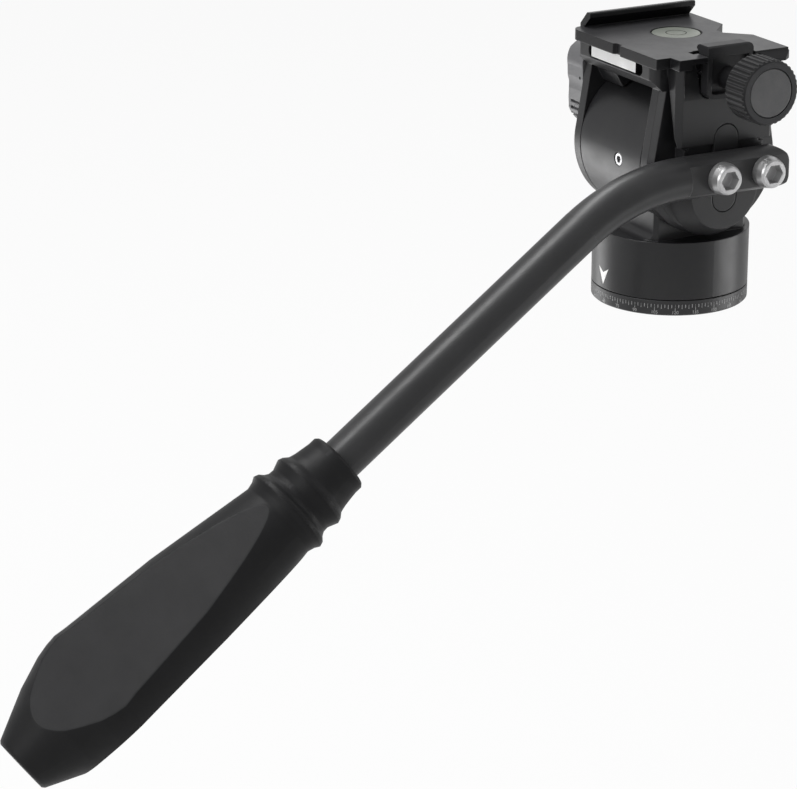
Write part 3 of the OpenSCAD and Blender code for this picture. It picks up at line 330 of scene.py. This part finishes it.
# painted sheen on the grip's widest flats
gripFinish = satinFinish("gripRubber", gripLook, flatSides(nodes["grip"], 3))
steelFinish = satinFinish("turnedSteel", steelLook)
boltFinish = satinFinish("zincedBolt", boltLook)
brightFinish = satinFinish("brightSteel", brightLook)
bronzeFinish = satinFinish("bearingBronze", bronzeLook)
frictionFinish = satinFinish("frictionLining", frictionLook)
cupFinish = satinFinish("levelCup", cupLook)
# painted shade on the strip's ends and sides, pale front
stripFinish = satinFinish("paleStrip", stripLook, [Vector((0, -1, 0))])
inkFinish = satinFinish("whiteInk", inkLook)
scaleInkFinish = satinFinish("scaleInk", scaleInkLook)


# knob cap: turned rings around the cap's own axis
capLook = {"centre": (0.0486, -0.0013, 0.06995), "dark": tone(71, 71, 72), "light": tone(82, 82, 83),
           "cloud": (300, 4, 0.6), "rings": 2600, "waver": 0.6, "waverDetail": 2, "waveEnds": (0, 1),
           "rough": 0.36, "swing": 0.05, "edge": 0.25 * mm, "bump": 0.08, "depth": 0.01 * mm}


def capFinish(look):
    finish, tree, shader, coords = shaderFinish("turnedCap")
    wave = addNode(tree, "ShaderNodeTexWave", wave_type="RINGS", rings_direction="X")
    wave.inputs["Scale"].default_value = look["rings"]
    wave.inputs["Distortion"].default_value = look["waver"]
    wave.inputs["Detail"].default_value = look["waverDetail"]
    join(tree, aroundCentre(tree, coords, look["centre"]), wave.inputs["Vector"])
    cloud = grainNoise(tree, coords, *look["cloud"])
    join(tree, shades(tree, cloud, look["dark"], look["light"]), shader.inputs["Base Color"])
    swingRoughness(tree, shader, wave.outputs["Fac"], look, look["waveEnds"])
    addBump(tree, shader, wave.outputs["Fac"], look, roundedNormal(tree, look["edge"]))
    return finish


# level vial: a greenish window, not see-through
vialLook = {"dark": tone(92, 97, 89), "light": tone(110, 114, 105), "cloud": (160, 2, 0.5),
            "smear": (700, 3, 0.5), "ripple": (240, 2, 0.5), "rough": 0.34, "swing": 0.04,
            "bump": 0.05, "depth": 0.02 * mm}


def vialFinish(look):
    finish, tree, shader, coords = shaderFinish("levelFluid")
    cloud = grainNoise(tree, coords, *look["cloud"])
    join(tree, shades(tree, cloud, look["dark"], look["light"]), shader.inputs["Base Color"])
    swingRoughness(tree, shader, grainNoise(tree, coords, *look["smear"]), look)
    addBump(tree, shader, grainNoise(tree, coords, *look["ripple"]), look)
    return finish


wearers = {
    castFinish: ["pan_housing", "drum_cover", "tilt_yoke", "axle_cover", "handle_saddle"],
    ringFinish: ["base_plate"],
    plateFinish: ["clamp_plate"],
    jawFinish: ["movable_jaw"],
    barFinish: ["handle_bar"],
    knobFinish: ["pan_lock_knob"],
    gripKnobFinish: ["clamp_knob"],
    capFinish(capLook): ["knob_cap"],
    leverFinish: ["tilt_lock_lever"],
    gripFinish: ["grip"],
    boltFinish: ["handle_bolts"],
    brightFinish: ["drum_set_screw"],
    steelFinish: ["thread_insert", "pan_retainer", "pan_retainer_screw", "pan_lock_stud",
                  "drum_cover_screws", "plate_screws", "tilt_axle", "tilt_drag_rotors",
                  "jaw_guide_pins", "clamp_stud", "tilt_lock_cam", "pan_drag_plate"],
    bronzeFinish: ["pan_bush", "tilt_bush_left", "tilt_bush_right", "tilt_drag_stators"],
    frictionFinish: ["pan_drag_ring", "pan_brake_shoe", "tilt_brake_shoe"],
    cupFinish: ["level_cup"],
    vialFinish(vialLook): ["level_vial"],
    stripFinish: ["front_strip"],
}


def dress(obj, finish):
    obj.data.materials.clear()
    obj.data.materials.append(finish)


for finish, names in wearers.items():
    for name in names:
        dress(nodes[name], finish)
bare = sorted(set(nodes) - {name for names in wearers.values() for name in names})
print("finishes set, nodes left over:", bare)


def openEdit():
    bpy.ops.object.mode_set(mode="EDIT")
    bpy.ops.mesh.select_all(action="SELECT")


def closeEdit(weld=None):
    bpy.ops.mesh.select_all(action="SELECT")
    if weld:
        bpy.ops.mesh.remove_doubles(threshold=weld)
    bpy.ops.mesh.normals_make_consistent(inside=False)
    bpy.ops.object.mode_set(mode="OBJECT")


# a piece ends at the origin, with its place in its mesh
def settle(obj, name, body, finish):
    pickNone()
    obj.select_set(True)
    bpy.context.view_layer.objects.active = obj
    bpy.ops.object.transform_apply(location=True, rotation=True, scale=True)
    obj.name = name
    obj.data.name = name
    dress(obj, finish)
    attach(obj, body)


# pan scale: ticks every 2.5 degrees, longer ones every 5 and the longest every 15
scale = {"ringRadius": 22.5 * mm, "proud": 0.02 * mm, "deep": 0.06 * mm, "top": 3.3 * mm,
         "width": 0.16 * mm, "bevel": 0.012 * mm, "weld": 0.001 * mm, "zeroAt": -148.5,
         "short": 0.95 * mm, "middle": 1.25 * mm, "long": 1.7 * mm,
         "numberStep": 15, "numberSize": 1.32 * mm, "numberMid": 0.96 * mm, "curveSteps": 4}
scale["reach"] = scale["ringRadius"] + scale["proud"] - scale["deep"] / 2


def tickRow(name, length, step):
    count = round(360 / step)
    pickNone()
    bpy.ops.mesh.primitive_cube_add(size=1, location=(0, 0, 0))
    tick = bpy.context.object
    tick.scale = (scale["deep"], scale["width"], length)
    tick.location = (scale["reach"], 0, scale["top"] - length / 2)
    bpy.ops.object.transform_apply(location=True, rotation=False, scale=True)
    openEdit()
    bpy.ops.mesh.bevel(offset=scale["bevel"], segments=1)
    bpy.ops.mesh.select_all(action="SELECT")
    bpy.ops.mesh.spin(steps=count, dupli=True, angle=2 * math.pi, center=(0, 0, 0), axis=(0, 0, 1))
    closeEdit(scale["weld"])
    tick.rotation_euler = (0, 0, math.radians(scale["zeroAt"]))
    settle(tick, name, "base", scaleInkFinish)


tickRow("scaleTicks", scale["short"], 2.5)
tickRow("scaleTicksFive", scale["middle"], 5)
tickRow("scaleTicksLong", scale["long"], 15)


def scaleNumber(value):
    pickNone()
    bpy.ops.object.text_add(location=(0, 0, 0))
    label = bpy.context.object
    label.data.body = str(value)
    label.data.size = scale["numberSize"]
    label.data.align_x = "CENTER"
    label.data.align_y = "CENTER"
    label.data.extrude = scale["deep"] / 2
    label.data.resolution_u = scale["curveSteps"]
    bpy.ops.object.convert(target="MESH")
    label = bpy.context.object
    turn = math.radians(scale["zeroAt"] + value)
    out = Vector((math.cos(turn), math.sin(turn), 0))
    label.location = out * scale["reach"] + Vector((0, 0, scale["numberMid"]))
    label.rotation_euler = (math.radians(90), 0, turn + math.radians(90))
    settle(label, "scaleNumber%03d" % value, "base", scaleInkFinish)


for value in range(0, 360, scale["numberStep"]):
    scaleNumber(value)
print("pan scale drawn")


# index arrow on the turning housing, bent to its round wall
arrow = {"at": -90, "tip": 5.9 * mm, "wingAngle": 6.2, "wing": 10.85 * mm, "notch": 9.45 * mm,
         "radius": 22.5 * mm, "proud": 0.03 * mm, "thick": 0.06 * mm, "cuts": 10, "weld": 0.0005 * mm}


def indexArrow():
    pickNone()
    bpy.ops.mesh.primitive_plane_add(size=1, location=(0, 0, 0))
    obj = bpy.context.object
    half = math.radians(arrow["wingAngle"]) * arrow["radius"]
    corners = [(0, arrow["tip"]), (half, arrow["wing"]), (0, arrow["notch"]), (-half, arrow["wing"])]
    # the plane's corners are numbered in rows, these go round
    for vertex, (across, up) in zip([obj.data.vertices[i] for i in (0, 1, 3, 2)], corners):
        vertex.co = (across, up, 0)
    openEdit()
    bpy.ops.mesh.vert_connect()
    bpy.ops.mesh.quads_convert_to_tris()
    bpy.ops.mesh.subdivide(number_cuts=arrow["cuts"])
    bpy.ops.mesh.extrude_region_move(TRANSFORM_OT_translate={"value": (0, 0, arrow["thick"])})
    bpy.ops.object.mode_set(mode="OBJECT")
    for vertex in obj.data.vertices:
        across, up, out = vertex.co
        reach = arrow["radius"] + arrow["proud"] - arrow["thick"] + out
        turn = math.radians(arrow["at"]) + across / arrow["radius"]
        vertex.co = (reach * math.cos(turn), reach * math.sin(turn), up)
    openEdit()
    closeEdit(arrow["weld"])
    settle(obj, "indexArrow", "pan", inkFinish)


indexArrow()
print("index arrow drawn")


# level: target ring printed on the window
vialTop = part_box("level_vial")[1].z
target = {"radius": 2.75 * mm, "width": 0.28 * mm, "sides": 64, "sunk": 0.03 * mm, "proud": 0.012 * mm}


def targetRing():
    pickNone()
    bpy.ops.mesh.primitive_circle_add(radius=target["radius"], vertices=target["sides"],
                                      location=(0, 0, vialTop - target["sunk"]))
    ring = bpy.context.object
    openEdit()
    bpy.ops.mesh.extrude_edges_move()
    grow = (target["radius"] + target["width"]) / target["radius"]
    bpy.ops.transform.resize(value=(grow, grow, 1), center_override=(0, 0, 0))
    bpy.ops.mesh.select_all(action="SELECT")
    thick = target["sunk"] + target["proud"]
    bpy.ops.mesh.extrude_region_move(TRANSFORM_OT_translate={"value": (0, 0, thick)})
    closeEdit()
    settle(ring, "levelTarget", "tilt", cupFinish)


targetRing()
print("level drawn")


# small dark stop pressed into the front side of the lock lever
stop = {"from": (-21.2 * mm, -60 * mm, 61.15 * mm), "radius": 0.45 * mm, "thick": 0.16 * mm,
        "sides": 32, "proud": 0.04 * mm, "rim": 0.1 * mm, "dish": 0.03 * mm}


def leverStop():
    spot, out = nodes["tilt_lock_lever"].ray_cast(stop["from"], (0, 1, 0))[1:3]
    pickNone()
    bpy.ops.mesh.primitive_cylinder_add(radius=stop["radius"], depth=stop["thick"],
                                        vertices=stop["sides"], location=(0, 0, 0))
    dot = bpy.context.object
    # only the front face is picked for the dish
    for polygon in dot.data.polygons:
        polygon.select = polygon.normal.z > 0.9
    for vertex in dot.data.vertices:
        vertex.select = vertex.co.z > 0
    for edge in dot.data.edges:
        edge.select = all(dot.data.vertices[i].select for i in edge.vertices)
    bpy.ops.object.mode_set(mode="EDIT")
    bpy.ops.mesh.select_mode(type="FACE")
    bpy.ops.mesh.inset(thickness=stop["rim"], depth=0)
    bpy.ops.mesh.inset(thickness=stop["rim"], depth=-stop["dish"])
    closeEdit()
    dot.location = spot + out * (stop["proud"] - stop["thick"] / 2)
    dot.rotation_euler = out.to_track_quat("Z", "Y").to_euler()
    settle(dot, "leverStop", "tilt_lock", cupFinish)


leverStop()
print("lever stop set")


# plain floor, low enough for the handle to swing clear of it
floorSpot = {"tiltAxis": 44 * mm, "spare": 3 * mm, "size": 12, "paper": 0.72, "seen": 0.92, "mirrored": 0.5}
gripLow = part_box("grip")[0]
swing = math.hypot(gripLow.y, gripLow.z - floorSpot["tiltAxis"])
drop = floorSpot["tiltAxis"] - floorSpot["spare"] - swing
pickNone()
bpy.ops.mesh.primitive_plane_add(size=floorSpot["size"], location=(0, 0, drop))
floor = bpy.context.object
floor.name = "studioFloor"


# 1 for what the camera sees straight or through glass
def seenThrough(tree, rays):
    return calc(tree, "MAXIMUM", rays.outputs["Is Camera Ray"], rays.outputs["Is Transmission Ray"])


# paper that takes shadows, lifted to white for the camera and half way for reflections
def floorFinish():
    finish, tree, out = emptyFinish("floorPaper")
    paper = addNode(tree, "ShaderNodeBsdfDiffuse")
    paper.inputs["Color"].default_value = (floorSpot["paper"], floorSpot["paper"], floorSpot["paper"], 1)
    glow = addNode(tree, "ShaderNodeEmission")
    glow.inputs["Strength"].default_value = 1
    rays = addNode(tree, "ShaderNodeLightPath")
    dimmed = calc(tree, "MULTIPLY", rays.outputs["Is Glossy Ray"], floorSpot["mirrored"])
    lift = calc(tree, "MULTIPLY_ADD", seenThrough(tree, rays), floorSpot["seen"], dimmed)
    mixer = addNode(tree, "ShaderNodeMixShader")
    fill(tree, mixer.inputs, (lift, paper.outputs[0], glow.outputs[0]))
    join(tree, mixer.outputs[0], out.inputs["Surface"])
    return finish


dress(floor, floorFinish())

# white surround for the camera, a little dimmer in reflections, dim as a light
worldLook = {"light": 0.3, "mirroredMore": 0.5}
world = bpy.data.worlds.new("studioWorld")
bpy.context.scene.world = world
world.use_nodes = True
world.cycles.sampling_method = "NONE"  # even surround, found by the rays themselves
tree = world.node_tree
tree.nodes.clear()
worldOut = addNode(tree, "ShaderNodeOutputWorld")
surround = addNode(tree, "ShaderNodeBackground")
rays = addNode(tree, "ShaderNodeLightPath")
mirrored = calc(tree, "MULTIPLY_ADD", rays.outputs["Is Glossy Ray"],
                worldLook["mirroredMore"], worldLook["light"])
white = calc(tree, "MAXIMUM", mirrored, seenThrough(tree, rays))
join(tree, white, surround.inputs["Strength"])
join(tree, surround.outputs[0], worldOut.inputs["Surface"])

lamps = {"topBox": {"place": (0.1, -0.45, 1.15), "width": 0.8, "height": 0.8, "watts": 1.5},
         "barBox": {"place": (-0.3, -0.3, 1.1), "width": 1.25, "height": 0.3, "watts": 12.5},
         "backBox": {"place": (-0.9, 0.61, 0.5), "width": 0.7, "height": 0.5, "watts": 0.45},
         "leftLow": {"place": (-0.196, -0.112, -0.078), "width": 0.1, "height": 0.145,
                     "watts": 0.036, "spread": 80},
         "rightLow": {"place": (0.19, 0.305, -0.09), "width": 0.24, "height": 0.12,
                      "watts": 0.087, "spread": 80},
         "sideBox": {"place": (0.55, 0.95, 0.95), "width": 0.6, "height": 0.6, "watts": 2},
         "frontBox": {"place": (0.3, -1.2, 0.45), "width": 0.7, "height": 0.7, "watts": 6}}
aim = Vector((0.0, 0.0, 0.03))
for name, lamp in lamps.items():
    pickNone()
    bpy.ops.object.light_add(type="AREA", location=lamp["place"])
    light = bpy.context.object
    light.name = name
    light.data.shape = "RECTANGLE"
    light.data.size = lamp["width"]
    light.data.size_y = lamp["height"]
    light.data.energy = lamp["watts"]
    light.data.spread = math.radians(lamp.get("spread", 180))
    light.visible_camera = False
    light.rotation_euler = (aim - Vector(lamp["place"])).to_track_quat("-Z", "Y").to_euler()
print("stage lit")
